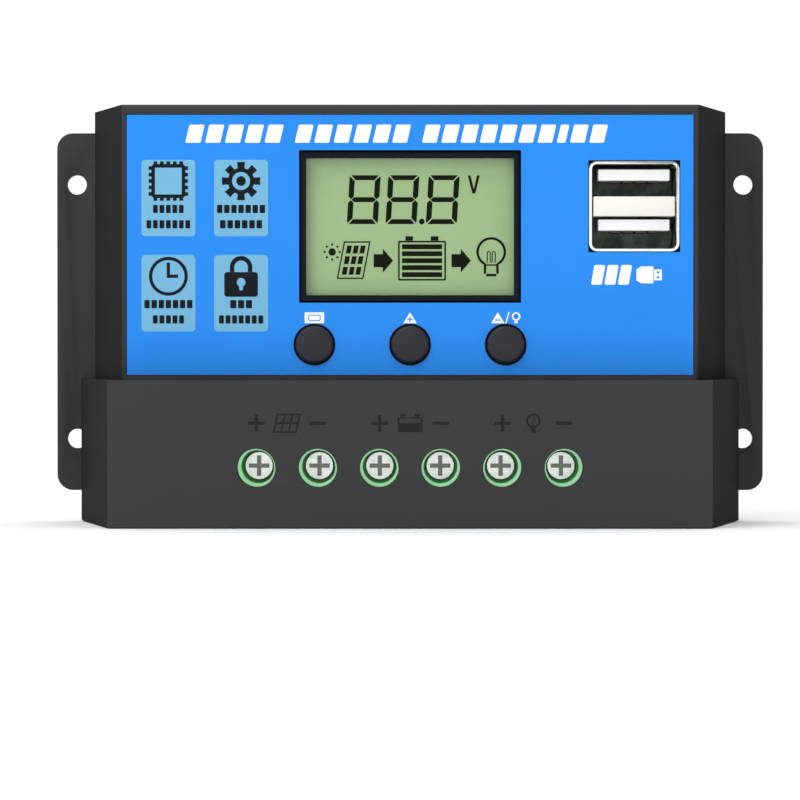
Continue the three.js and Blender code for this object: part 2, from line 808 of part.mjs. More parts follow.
// Case screw about its own axis, head at the back and a cross recess in it.
function makeCaseScrew() {
  const headFace = plateThickness + standoffHeight - standoffWeb - seatGap;
  const headBackFace = headFace - caseHeadHeight;
  const chamfer = 0.5;
  const body = turned([
    [0, headBackFace],
    [caseHeadRadius - chamfer, headBackFace],
    [caseHeadRadius, headBackFace + chamfer],
    [caseHeadRadius, headFace],
    [caseShankRadius, headFace],
    [caseShankRadius, boardFront + caseScrewBite - chamfer],
    [caseShankRadius - chamfer, boardFront + caseScrewBite],
    [0, boardFront + caseScrewBite],
  ]);
  return cut(body, ...crossRecess(caseHeadRadius, headBackFace - 1, headBackFace + crossDepth));
}

// Electrolytic capacitor standing on the board, with the groove that crimps its can.
function makeCapacitor() {
  const back = boardFront + seatGap;
  const groove = 0.4;
  return turned([
    [0, back],
    [capacitorRadius - groove, back],
    [capacitorRadius, back + groove],
    [capacitorRadius, back + 1.4],
    [capacitorRadius - groove, back + 1.9],
    [capacitorRadius, back + 2.4],
    [capacitorRadius, back + capacitorHeight - groove],
    [capacitorRadius - groove, back + capacitorHeight],
    [0, back + capacitorHeight],
  ]);
}

function makeInductor() {
  const back = boardFront + seatGap;
  const flange = 1.2;
  return turned([
    [0, back],
    [inductorRadius, back],
    [inductorRadius, back + flange],
    [inductorWaist, back + flange],
    [inductorWaist, back + inductorHeight - flange],
    [inductorRadius, back + inductorHeight - flange],
    [inductorRadius, back + inductorHeight],
    [0, back + inductorHeight],
  ]);
}

// Power transistor behind the main board: moulded body, tab above it and two legs below.
function makeTransistor() {
  const [width, thickness, height] = transistorBody;
  const front = boardBack - seatGap;
  const body = centredBlock(0, 0, width, height, front - thickness, front);
  const tab = centredBlock(0, height / 2, width - 1.2, 2.4, front - 0.6, front);
  const legs = [-1, 1].map((side) =>
    centredBlock(side * (width / 2 - 1), -height / 2 - 0.8, 0.8, 2.4, front - 0.6, front),
  );
  return joined(body, tab, ...legs);
}

function makeThermalPad() {
  const halfWidth = 1.5 * transistorPitch + transistorBody[0] / 2 + padMargin;
  const z = poleZ + transistorRise;
  const height = transistorBody[2] + 2 * padMargin;
  const front = boardBack - 2 * seatGap - transistorBody[1];
  return centredBlock(0, z, 2 * halfWidth, height, footDepth, front);
}

// A chip package with a foot along each of two sides.
function makeChip(width, height, thickness, near) {
  const body = centredBlock(0, 0, width, height, near, near + thickness);
  const feet = centredBlock(0, 0, width + 1.6, height * 0.8, near, near + 0.4);
  return joined(body, feet);
}

// The controller chip is soldered to the back of the display board, feet towards the board.
function makeMicrocontroller() {
  const thickness = 1.6;
  const front = displayBoardBack - seatGap;
  const body = centredBlock(0, 0, 10, 10, front - thickness, front);
  const feet = centredBlock(0, 0, 12, 8, front - 0.4, front);
  return joined(body, feet);
}

// Current-sensing link: a bridge of thick wire on the main board.
function makeShuntLink() {
  const back = boardFront + seatGap;
  const bridge = centredBlock(0, 0, 12, 1.5, back, back + 3.5);
  return cut(bridge, centredBlock(0, 0, 9, 3, back - 1, back + 2));
}

// ---------------------------------------------------------------------------------------------
// Assembly
// ---------------------------------------------------------------------------------------------

add('back_plate', makeBackPlate(), 'paintedMetal');
add('front_housing', makeFrontHousing(), 'blackPlastic');
add('terminal_cover', makeTerminalCover(), 'blackPlastic');
add('face_label', makeFaceLabel(), 'label');

add('display_frame', makeDisplayFrame(), 'bezelPlastic');
add('display_glass', inDisplayFrame(glassFront - glassThickness, glassFront), 'displayGlass');
add('display_backlight', inDisplayFrame(backlightFront - backlightThickness, backlightFront), 'whitePlastic');
add('display_board', makeDisplayBoard(), 'circuitBoard');
add('pin_header', makePinHeader(), 'copper');

buttonNames.forEach((name, index) => {
  const x = (index - 1) * buttonPitch;
  add(`button_${name}`, makeButtonCap(), 'buttonPlastic', x, buttonZ);
  add(`switch_plunger_${name}`, makeSwitchPlunger(), 'whitePlastic', x, buttonZ);
  add(`switch_body_${name}`, makeSwitchBody(), 'chipPlastic', x, buttonZ);
});

add('usb_shell', makeUsbShell(), 'steel');
add('usb_insulator', makeUsbInsulator(), 'whitePlastic');
add('usb_divider', makeUsbDivider(), 'whitePlastic');

add('main_board', makeMainBoard(), 'circuitBoard');

terminalNames.forEach((name, index) => {
  const x = (poleX(2 * index) + poleX(2 * index + 1)) / 2;
  add(`terminal_block_${name}`, makeTerminalBlock(), 'greenPlastic', x, poleZ);
  ['plus', 'minus'].forEach((pole, side) => {
    const place = poleX(2 * index + side);
    add(`terminal_screw_${name}_${pole}`, makeTerminalScrew(), 'steel', place, poleZ);
    add(`clamp_cage_${name}_${pole}`, makeClampCage(), 'steel', place, poleZ);
    add(`contact_bar_${name}_${pole}`, makeContactBar(), 'copper', place, poleZ);
  });
});

const cornerNames = ['top_left', 'top_right', 'bottom_left', 'bottom_right'];
allBosses.forEach(([x, z], index) => {
  add(`case_screw_${cornerNames[index]}`, makeCaseScrew(), 'steel', x, z);
});

const partsX = -(boardHalfWidth - capacitorInset);
const partsZ = housingBossZ - capacitorDrop;
const capacitorSpacing = 2 * capacitorRadius + capacitorGap;
add('capacitor_panel', makeCapacitor(), 'capacitorSleeve', partsX, partsZ);
add('capacitor_battery', makeCapacitor(), 'capacitorSleeve', partsX, partsZ - capacitorSpacing);
add('inductor', makeInductor(), 'ferrite', partsX, partsZ - 2 * capacitorSpacing);

const transistorNames = ['charge_a', 'charge_b', 'load_a', 'load_b'];
transistorNames.forEach((name, index) => {
  const x = (index - 1.5) * transistorPitch;
  add(`transistor_${name}`, makeTransistor(), 'chipPlastic', x, poleZ + transistorRise);
});
add('thermal_pad', makeThermalPad(), 'siliconePad');

const chipBack = boardFront + seatGap;
const usbLow = usbZ - usbHalf;
add('microcontroller', makeMicrocontroller(), 'chipPlastic', 0, displayZ - 2);
add('usb_regulator', makeChip(5, 4, 1.6, chipBack), 'chipPlastic', usbX, usbLow - 5);
add('reverse_diode', makeChip(7, 6, 2.4, chipBack), 'chipPlastic', usbX, usbLow - 14);
add('shunt_link', makeShuntLink(), 'copper', 0, poleZ + transistorRise + 4);

export default controller;
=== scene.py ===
# Solar charge controller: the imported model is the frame, and this script gives it its looks.
# Metres, +X right, +Z up, the wall at Y = 0 and the front towards -Y.

import math

import bmesh
import bpy
from mathutils import Matrix, Vector


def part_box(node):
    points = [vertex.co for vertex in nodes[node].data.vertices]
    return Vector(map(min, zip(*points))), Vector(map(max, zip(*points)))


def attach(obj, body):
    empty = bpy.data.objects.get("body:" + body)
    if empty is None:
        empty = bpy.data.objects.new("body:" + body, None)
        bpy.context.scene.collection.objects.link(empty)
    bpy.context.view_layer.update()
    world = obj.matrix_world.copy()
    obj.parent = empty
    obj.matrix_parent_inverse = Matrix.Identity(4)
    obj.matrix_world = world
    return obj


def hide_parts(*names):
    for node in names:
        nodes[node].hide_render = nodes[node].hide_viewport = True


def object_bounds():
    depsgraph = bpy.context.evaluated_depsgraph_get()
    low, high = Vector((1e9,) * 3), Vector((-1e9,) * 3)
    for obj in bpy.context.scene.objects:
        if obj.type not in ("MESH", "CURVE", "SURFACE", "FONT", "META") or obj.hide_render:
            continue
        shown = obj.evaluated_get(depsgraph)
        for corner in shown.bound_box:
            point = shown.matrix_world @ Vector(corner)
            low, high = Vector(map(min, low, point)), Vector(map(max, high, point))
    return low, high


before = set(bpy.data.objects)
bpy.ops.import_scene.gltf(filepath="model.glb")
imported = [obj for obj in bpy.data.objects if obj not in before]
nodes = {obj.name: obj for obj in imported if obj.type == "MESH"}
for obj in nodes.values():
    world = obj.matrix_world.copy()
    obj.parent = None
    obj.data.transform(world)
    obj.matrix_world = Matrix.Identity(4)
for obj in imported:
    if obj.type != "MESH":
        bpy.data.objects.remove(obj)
cad_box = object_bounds()


# --- Camera, light and floor -------------------------------------------------------------------
# A long lens straight in front, a little below the middle of the display. A pale floor under the
# case, soft light from above, from the front and from the upper left, and a white horizon all round.

MM = 0.001

bpy.ops.object.select_all(action="DESELECT")
aim = Vector((-1.9, -2.0, -16.7)) * MM
eye = Vector((0.0, -780.0, -5.8)) * MM
bpy.ops.object.camera_add(location=eye, rotation=(aim - eye).to_track_quat("-Z", "Y").to_euler())
camera = bpy.context.object
camera.name = "camera"
camera.data.lens = 185
camera.data.sensor_width = 36
camera.data.clip_start = 0.01
bpy.context.scene.camera = camera
bpy.context.scene.view_settings.view_transform = "Standard"


class Wire:
    """A socket in a node tree. Sums and products add Math nodes, and node() adds any other node."""

    def __init__(self, tree, socket=None):
        self.tree, self.socket = tree, socket

    def node(self, kind, settings=None, sockets=None, output=0):
        made = self.tree.nodes.new(kind)
        for key, value in (settings or {}).items():
            setattr(made, key, value)
        for key, value in (sockets or {}).items():
            if isinstance(key, int):
                socket = made.inputs[key]
            else:
                socket = next(s for s in made.inputs if s.name == key and s.enabled)
            if isinstance(value, Wire):
                self.tree.links.new(value.socket, socket)
            else:
                socket.default_value = value
        outputs = [s for s in made.outputs if s.enabled]
        if isinstance(output, str):
            return Wire(self.tree, made.outputs[output])
        return Wire(self.tree, outputs[output] if outputs else None)

    def maths(self, operation, first, second=0.0):
        return self.node("ShaderNodeMath", {"operation": operation}, {0: first, 1: second})

    def __add__(self, other):
        return self.maths("ADD", self, other)

    def __radd__(self, other):
        return self.maths("ADD", other, self)

    def __mul__(self, other):
        return self.maths("MULTIPLY", self, other)

    def __rmul__(self, other):
        return self.maths("MULTIPLY", other, self)

    def ramp(self, low, high, to_low=0.0, to_high=1.0):
        """Eases from one value to the other as this one goes from low to high."""
        return self.node("ShaderNodeMapRange", {"interpolation_type": "SMOOTHSTEP"},
                         {"Value": self, "From Min": low, "From Max": high,
                          "To Min": to_low, "To Max": to_high})

    def blend(self, first, second):
        """Mixes two colours by this value."""
        return self.node("ShaderNodeMix", {"data_type": "RGBA"}, {"Factor": self, "A": first, "B": second})


world = bpy.data.worlds.new("studio")
world.use_nodes = True
world.node_tree.nodes.clear()
bpy.context.scene.world = world
sky = Wire(world.node_tree)
horizon_light, front_light, base_light = 0.72, 0.62, 0.33
toward = sky.node("ShaderNodeTexCoord", output="Generated")
ahead = sky.node("ShaderNodeSeparateXYZ", sockets={0: toward}, output="Y")
rise = sky.node("ShaderNodeSeparateXYZ", sockets={0: toward}, output="Z")
horizon = rise.maths("ABSOLUTE", rise).ramp(0.11, 0.30, horizon_light, 0.0)
backdrop = horizon + ahead.ramp(-0.985, -0.93, front_light, 0.0) + base_light
sky.node("ShaderNodeOutputWorld", sockets={"Surface": sky.node(
    "ShaderNodeBackground", sockets={"Color": (1, 1, 1, 1), "Strength": backdrop})})

bpy.ops.object.light_add(type="SUN", location=(0, 0, 1.5), rotation=(math.radians(-4), 0, 0))
overhead = bpy.context.object
overhead.name = "overhead_light"
overhead.data.energy = 2.25
overhead.data.angle = math.radians(100)

bpy.ops.object.light_add(type="AREA", location=(-0.55, -0.75, 0.6))
key_light = bpy.context.object
key_light.name = "key_light"
key_light.rotation_euler = (-key_light.location).to_track_quat("-Z", "Y").to_euler()
key_light.data.energy = 3.6
key_light.data.size = 0.5

floor_gap, floor_width = 0.2 * MM, 60
bpy.ops.mesh.primitive_plane_add(size=floor_width, location=(0, 0, cad_box[0][2] - floor_gap))
floor = bpy.context.object
floor.name = "floor"
floor_paint = bpy.data.materials.new("floor_paint")
floor_paint.use_nodes = True
floor_paint.node_tree.nodes.clear()
paper = Wire(floor_paint.node_tree)
fleck = paper.node("ShaderNodeTexNoise", sockets={"Scale": 220.0, "Detail": 3.0})
paper.node("ShaderNodeOutputMaterial", sockets={"Surface": paper.node(
    "ShaderNodeBsdfDiffuse", sockets={"Color": fleck.blend((0.93, 0.93, 0.93, 1), (0.96, 0.96, 0.96, 1))})})
floor.data.materials.append(floor_paint)


# --- Back plate --------------------------------------------------------------------------------
# A pressed steel plate with an ear on each side, two mounting holes in each ear and four dished
# standoffs for the case screws. It is powder coated a dark satin black with a fine orange peel.


def finish_of(name, base, roughness, metallic=0.0, specular=0.5, coat=0.0):
    """A material with one Principled shader: constants on its own sockets, links added by the caller."""
    material = bpy.data.materials.new(name)
    material.use_nodes = True
    material.diffuse_color = (*base, 1)
    tree = Wire(material.node_tree)
    shader = material.node_tree.nodes["Principled BSDF"]
    shader.inputs["Base Color"].default_value = (*base, 1)
    shader.inputs["Roughness"].default_value = roughness
    shader.inputs["Metallic"].default_value = metallic
    shader.inputs["Specular IOR Level"].default_value = specular
    shader.inputs["Coat Weight"].default_value = coat
    return material, tree, shader


def link(tree, value, shader, socket):
    tree.tree.links.new(value.socket, shader.inputs[socket])


def grained(name, base, roughness, grain, depth, spread=0.15, specular=0.5):
    """A moulded, coated or cast surface: a fine grain in its height, its colour and its gloss."""
    material, tree, shader = finish_of(name, base, roughness, specular=specular)
    place = tree.node("ShaderNodeTexCoord", output="Object")
    fine = tree.node("ShaderNodeTexNoise", sockets={"Vector": place, "Scale": 1 / grain, "Detail": 4.0,
                                                    "Roughness": 0.6})
    broad = tree.node("ShaderNodeTexNoise", sockets={"Vector": place, "Scale": 0.04 / grain, "Detail": 3.0})
    dark = tuple(c * (1 - spread) for c in base)
    light = tuple(min(c * (1 + spread), 1.0) for c in base)
    mottle = (fine * 0.6 + broad * 0.4).ramp(0.3, 0.7)
    link(tree, mottle.blend((*dark, 1), (*light, 1)), shader, "Base Color")
    link(tree, (fine * 0.5 + broad * 0.5) * 0.24 + (roughness - 0.12), shader, "Roughness")
    link(tree, tree.node("ShaderNodeBump", sockets={"Strength": 0.35, "Distance": depth, "Height": fine}),
         shader, "Normal")
    return material


merge_within, flat_within = 2e-6, math.radians(1.2)


def refined(name, body, source, edge, material, angle=30, segments=2):
    """A copy of a CAD node with its doubles merged, its flat faces joined and its edges rounded."""
    mesh = nodes[source].data.copy()
    mesh.name = name
    mesh.materials.clear()
    piece = bpy.data.objects.new(name, mesh)
    bpy.context.collection.objects.link(piece)
    bm = bmesh.new()
    bm.from_mesh(mesh)
    bmesh.ops.remove_doubles(bm, verts=bm.verts, dist=merge_within)
    bmesh.ops.dissolve_limit(bm, angle_limit=flat_within, verts=bm.verts, edges=bm.edges)
    bm.to_mesh(mesh)
    bm.free()
    mesh.materials.append(material)
    bpy.ops.object.select_all(action="DESELECT")
    piece.select_set(True)
    bpy.context.view_layer.objects.active = piece
    if edge:
        bevel = piece.modifiers.new("edge", "BEVEL")
        bevel.width, bevel.segments = edge, segments
        bevel.limit_method, bevel.angle_limit = "ANGLE", math.radians(angle)
        bevel.use_clamp_overlap = True
        bpy.ops.object.modifier_apply(modifier=bevel.name)
    bpy.ops.object.shade_smooth_by_angle(angle=math.radians(angle))
    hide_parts(source)
    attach(piece, body)
    return piece


def dress(material, *names):
    """Gives CAD nodes a material; their meshes stay as they are."""
    for name in names:
        for place in nodes[name].material_slots:
            place.material = material


plate_coat = grained("plate_coat", (0.030, 0.030, 0.031), 0.56, 0.35 * MM, 0.03 * MM, specular=0.22)
refined("back_plate_pressing", "controller", "back_plate", 0.3 * MM, plate_coat, angle=35)


# --- Front housing and terminal cover ----------------------------------------------------------
# Two mouldings in black flame-retardant plastic, both with sides that lean in towards the front.
# The cover laps over the foot of the housing and stands further forward, over the terminals.


def moulded(name, front, side, roughness):
    """Black plastic with a spark-eroded grain; the leaning sides get painted shade, a darker and nearly
    gloss-free copy of the plastic.
    """
    material, tree, shader = finish_of(name, front, roughness, specular=0.16)
    place = tree.node("ShaderNodeTexCoord", output="Object")
    fine = tree.node("ShaderNodeTexNoise", sockets={"Vector": place, "Scale": 2600.0, "Detail": 5.0,
                                                    "Roughness": 0.65})
    broad = tree.node("ShaderNodeTexNoise", sockets={"Vector": place, "Scale": 45.0, "Detail": 3.0})
    normal = tree.node("ShaderNodeTexCoord", output="Normal")
    facing = tree.node("ShaderNodeSeparateXYZ", sockets={0: normal}, output="X")
    leaning = facing.maths("ABSOLUTE", facing).ramp(0.35, 0.8)
    worn = (fine * 0.5 + broad * 0.5).ramp(0.35, 0.68) * 0.35
    link(tree, worn.blend((*front, 1), (0.046, 0.047, 0.049, 1)), shader, "Base Color")
    link(tree, fine * 0.2 + broad * 0.16 + (roughness - 0.18), shader, "Roughness")
    grain = tree.node("ShaderNodeBump", sockets={"Strength": 0.4, "Distance": 0.03 * MM, "Height": fine})
    link(tree, grain, shader, "Normal")
    # Painted shade: faces that lean to the sides are mixed over to a darker, matt copy of the plastic
    matt = tree.node("ShaderNodeBsdfDiffuse", sockets={
        "Color": worn.blend((*side, 1), (0.036, 0.036, 0.038, 1)), "Normal": grain})
    gloss = Wire(tree.tree, shader.outputs["BSDF"])
    surface = tree.node("ShaderNodeMixShader", sockets={0: leaning * 0.93, 1: gloss, 2: matt})
    link(tree, surface, tree.tree.nodes["Material Output"], "Surface")
    return material


housing_plastic = moulded("housing_plastic", (0.031, 0.031, 0.033), (0.019, 0.019, 0.020), 0.52)
cover_plastic = moulded("cover_plastic", (0.036, 0.036, 0.037), (0.021, 0.021, 0.022), 0.50)
refined("front_housing_shell", "controller", "front_housing", 0.35 * MM, housing_plastic, angle=24)
refined("terminal_cover_shell", "controller", "terminal_cover", 0.5 * MM, cover_plastic, angle=24)


# --- Face label --------------------------------------------------------------------------------
# A blue polycarbonate film stuck into a shallow recess, screen printed from the front. Words are
# left as plain bars; the four tiles, the button signs and the socket sign are drawn pictograms.


def blue_film():
    material, tree, shader = finish_of("label_film", (0.0265, 0.252, 0.806), 0.42, specular=0.15)
    place = tree.node("ShaderNodeTexCoord", output="Object")
    fine = tree.node("ShaderNodeTexNoise", sockets={"Vector": place, "Scale": 3200.0, "Detail": 3.0})
    broad = tree.node("ShaderNodeTexNoise", sockets={"Vector": place, "Scale": 22.0, "Detail": 2.0})
    ink = (broad * 0.7 + fine * 0.3).ramp(0.3, 0.7)
    grain = tree.node("ShaderNodeBump", sockets={"Strength": 0.25, "Distance": 0.01 * MM, "Height": fine})
    link(tree, ink.blend((0.0170, 0.236, 0.800, 1), (0.0200, 0.256, 0.840, 1)), shader, "Base Color")
    link(tree, fine * 0.12 + 0.38, shader, "Roughness")
    link(tree, grain, shader, "Normal")
    return material


def ink_of(name, base, roughness=0.5):
    """Screen ink: one colour with a faint mesh mottle."""
    material, tree, shader = finish_of(name, base, roughness, specular=0.08)
    place = tree.node("ShaderNodeTexCoord", output="Object")
    mesh_mark = tree.node("ShaderNodeTexVoronoi", sockets={"Vector": place, "Scale": 5200.0},
                          output="Distance")
    dark = tuple(c * 0.93 for c in base)
    link(tree, mesh_mark.ramp(0.1, 0.6).blend((*base, 1), (*dark, 1)), shader, "Base Color")
    link(tree, mesh_mark * 0.1 + (roughness - 0.05), shader, "Roughness")
    return material


def on_circle(x, z, radius, degrees):
    """The point at this angle on a circle about its centre, in millimetres."""
    turn = math.radians(degrees)
    return x + radius * math.cos(turn), z + radius * math.sin(turn)


def round_outline(x, z, radius, sides=40):
    return [on_circle(x, z, radius, 360 * i / sides) for i in range(sides)]


def bar_outline(x, z, width, height, corner=0.0, slant=0.0):
    """A rectangle about its centre, in millimetres, with round corners or leaning sides."""
    w, h = width / 2, height / 2
    if not corner:
        return [(x + a * w + slant * b * h, z + b * h) for a, b in ((-1, -1), (1, -1), (1, 1), (-1, 1))]
    points = []
    for a, b, start in ((1, 1, 0), (-1, 1, 90), (-1, -1, 180), (1, -1, 270)):
        for step in range(5):
            turn = math.radians(start + step * 22.5)
            points.append((x + a * (w - corner) + corner * math.cos(turn) + slant * b * h,
                           z + b * (h - corner) + corner * math.sin(turn)))
    return points


ink_thickness = 0.02


def printed(name, outlines, depth, material):
    """A flat filled curve of closed outlines, made a mesh and laid upright at its depth."""
    curve = bpy.data.curves.new(name, "CURVE")
    curve.dimensions, curve.fill_mode = "2D", "BOTH"
    curve.extrude = ink_thickness / 2 * MM
    for outline in outlines:
        spline = curve.splines.new("POLY")
        spline.points.add(len(outline) - 1)
        for point, (x, z) in zip(spline.points, outline):
            point.co = (x * MM, z * MM, 0, 1)
        spline.use_cyclic_u = True
    bpy.ops.object.select_all(action="DESELECT")
    piece = bpy.data.objects.new(name, curve)
    bpy.context.collection.objects.link(piece)
    piece.select_set(True)
    bpy.context.view_layer.objects.active = piece
    bpy.ops.object.convert(target="MESH")
    piece = bpy.context.object
    piece.data.transform(Matrix.Translation((0, -(depth + ink_thickness / 2) * MM, 0))
                         @ Matrix.Rotation(math.radians(90), 4, "X"))
    piece.data.materials.clear()
    piece.data.materials.append(material)
    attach(piece, "controller")
    return piece


label_front = -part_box("face_label")[0][1] / MM
white_ink = ink_of("white_ink", (0.93, 0.95, 0.97))
tile_ink = ink_of("tile_ink", (0.181, 0.462, 0.686))
dark_ink = ink_of("dark_ink", (0.0075, 0.010, 0.014))
refined("label_sheet", "controller", "face_label", 0, blue_film())

# The title: three groups of slanted bars, as wide as the words they stand for
title_bars, title_x = [], -40.7
title_z, title_height, title_gap, word_gap = 32.35, 3.3, 0.85, 1.9
for count, width in ((5, 3.62), (6, 3.56), (10, 3.52)):
    for index in range(count):
        narrow = 1.1 if (count, index) == (10, 7) else 0.0
        size = width - title_gap - narrow
        title_bars.append(bar_outline(title_x + size / 2, title_z, size, title_height, 0.25, 0.2))
        title_x += width - narrow
    title_x += word_gap
printed("title_bars", title_bars, label_front, white_ink)

# The tiles, each with its pictogram and two caption bars
tile_width, tile_height, icon_rise = 9.85, 14.0, 3.1
tile_places = {"chip": (-44.2, 20.6), "gear": (-30.9, 20.6), "clock": (-44.2, 3.2), "padlock": (-30.9, 3.2)}
printed("tile_panels", [bar_outline(x, z, tile_width, tile_height, 0.7) for x, z in tile_places.values()],
        label_front, tile_ink)


def chip_outlines(x, z):
    ring = []
    for side in range(4):
        turn = Matrix.Rotation(math.radians(90 * side), 2)
        for pin in range(5):
            at = 2.36 - pin * 1.18
            for across, out in ((at + 0.34, 3.1), (at + 0.34, 3.6), (at - 0.34, 3.6), (at - 0.34, 3.1)):
                point = turn @ Vector((across, out))
                ring.append((x + point.x, z + point.y))
    return [ring[::-1], bar_outline(x, z, 4.9, 4.9)]


def gear_outlines(x, z):
    rim, teeth = [], 8
    for tooth in range(teeth):
        centre = 2 * math.pi * tooth / teeth
        for offset, radius in ((-0.26, 2.45), (-0.20, 3.56), (0.20, 3.56), (0.26, 2.45), (0.393, 2.4)):
            turn = centre + offset
            rim.append((x + radius * math.cos(turn), z + radius * math.sin(turn)))
    return [rim, round_outline(x, z, 1.66, 28), round_outline(x, z, 0.88, 20)]


def clock_outlines(x, z):
    half = 0.3
    hands = [(x - half, z + 2.5), (x - half, z - half), (x + 1.8, z - half), (x + 1.8, z + half),
             (x + half, z + half), (x + half, z + 2.5)]
    return [round_outline(x, z, 3.56, 48), round_outline(x, z, 2.96, 48), hands]


def padlock_outlines(x, z):
    outer, inner, foot, bend = 2.06, 1.24, z + 0.78, z + 1.65
    arch = [(x + outer, foot), (x + outer, bend)]
    arch += [on_circle(x, bend, outer, a) for a in range(15, 180, 15)]
    arch += [(x - outer, bend), (x - outer, foot), (x - inner, foot), (x - inner, bend)]
    arch += [on_circle(x, bend, inner, 180 - a) for a in range(15, 180, 15)]
    arch += [(x + inner, bend), (x + inner, foot)]
    eye_z = z - 1.1
    keyhole = [on_circle(x, eye_z, 0.8, a) for a in range(-60, 241, 20)]
    keyhole += [(x - 0.28, eye_z - 1.5), (x + 0.28, eye_z - 1.5)]
    return [bar_outline(x, z - 1.5, 6.15, 4.5, 0.5), keyhole, arch]


tile_draws = {"chip": chip_outlines, "gear": gear_outlines,
              "clock": clock_outlines, "padlock": padlock_outlines}
caption_drops, letter_pitch, letter_gap, letter_height = (2.0, 4.8), 1.25, 0.32, 1.5
caption_widths = {"chip": (5.9, 8.3), "gear": (9.1, 8.0), "clock": (9.1, 6.0), "padlock": (4.3, 8.4)}
for sign, (x, z) in tile_places.items():
    printed(f"tile_{sign}", tile_draws[sign](x, z + icon_rise), label_front + ink_thickness, dark_ink)
    words = []
    for drop, width in zip(caption_drops, caption_widths[sign]):
        letters = max(round(width / letter_pitch), 3)
        pitch = width / letters
        words += [bar_outline(x - width / 2 + pitch * (i + 0.5), z - drop,
                              pitch - letter_gap, letter_height, 0.15) for i in range(letters)]
    printed(f"tile_{sign}_caption", words, label_front + ink_thickness, dark_ink)

# The button signs: a screen with a loop, a triangle with a plus, a triangle with a minus and a bulb
sign_z, sign_height = -1.3, 2.0
button_x = {name: sum(c[0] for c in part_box(f"button_{name}")) / 2 / MM for name in ("menu", "up", "down")}


def triangle(x, z, height):
    return [(x - height * 0.62, z - height / 2), (x + height * 0.62, z - height / 2), (x, z + height / 2)]


def cross(x, z, reach, half):
    corners = ((-reach, -half), (-half, -half), (-half, -reach), (half, -reach), (half, -half),
               (reach, -half), (reach, half), (half, half), (half, reach), (-half, reach),
               (-half, half), (-reach, half))
    return [(x + a, z + b) for a, b in corners]


printed("menu_sign", [bar_outline(button_x["menu"], sign_z, 3.56, sign_height, 0.1),
                      bar_outline(button_x["menu"], sign_z, 2.3, 1.15, 0.25),
                      bar_outline(button_x["menu"], sign_z, 1.95, 0.8, 0.15)], label_front, white_ink)
printed("up_sign", [triangle(button_x["up"], sign_z, sign_height),
                    cross(button_x["up"], sign_z - 0.3, 0.5, 0.12)], label_front, white_ink)
down_x = button_x["down"]
printed("down_sign", [triangle(down_x - 1.45, sign_z, sign_height),
                      bar_outline(down_x - 1.45, sign_z - 0.4, 1.0, 0.24),
                      bar_outline(down_x + 0.3, sign_z, 0.22, 2.1, 0, 0.3),
                      round_outline(down_x + 1.9, sign_z + 0.25, 0.78, 24),
                      round_outline(down_x + 1.9, sign_z + 0.25, 0.5, 20),
                      bar_outline(down_x + 1.9, sign_z - 0.78, 0.6, 0.4)], label_front, white_ink)

# Under the socket: three blocks and a plug sign
socket_sign_z = 6.55
blocks = [bar_outline(34.4 + 2.45 * i, socket_sign_z, 2.0, 3.6, 0.3, 0.15) for i in range(3)]
plug_x = 41.4
plug_sign = [(plug_x + a, socket_sign_z + b) for a, b in (
    (0.0, -1.0), (0.9, -1.55), (3.1, -1.55), (3.1, 1.55), (0.9, 1.55), (0.0, 1.0))]
plug_tip = bar_outline(plug_x + 3.95, socket_sign_z, 1.4, 2.0, 0.1)
plug_holes = [bar_outline(plug_x + 3.95, socket_sign_z + 0.45 * s, 0.5, 0.42) for s in (-1, 1)]
printed("socket_sign", blocks + [plug_sign, plug_tip] + plug_holes, label_front, white_ink)


# --- Display -----------------------------------------------------------------------------------
# A reflective liquid crystal cell in a dark frame: grey-green glass with near-black segments. It
# shows the test pattern of three figures, and the panel, battery and lamp joined by arrows.

frame_plastic = grained("display_frame_plastic", (0.0040, 0.0075, 0.0115), 0.42, 0.3 * MM, 0.01 * MM,
                        specular=0.1)
refined("display_surround", "controller", "display_frame", 0.25 * MM, frame_plastic)


def crystal_glass():
    material, tree, shader = finish_of("crystal_glass", (0.290, 0.437, 0.200), 0.30, specular=0.35, coat=0.25)
    shader.inputs["Coat Roughness"].default_value = 0.08
    place = tree.node("ShaderNodeTexCoord", output="Object")
    cloud = tree.node("ShaderNodeTexNoise", sockets={"Vector": place, "Scale": 60.0, "Detail": 3.0})
    fine = tree.node("ShaderNodeTexNoise", sockets={"Vector": place, "Scale": 5200.0, "Detail": 2.0})
    tone = (cloud * 0.6 + fine * 0.4).ramp(0.3, 0.7)
    link(tree, tone.blend((0.272, 0.415, 0.186, 1), (0.305, 0.455, 0.212, 1)), shader, "Base Color")
    link(tree, fine * 0.1 + 0.25, shader, "Roughness")
    return material


dress(crystal_glass(), "display_glass")
glass_low, glass_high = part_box("display_glass")
glass_front = -glass_low[1] / MM
screen_x = (glass_low[0] + glass_high[0]) / 2 / MM
screen_z = (glass_low[2] + glass_high[2]) / 2 / MM
segment_ink = ink_of("segment_ink", (0.0040, 0.0065, 0.0020), 0.42)


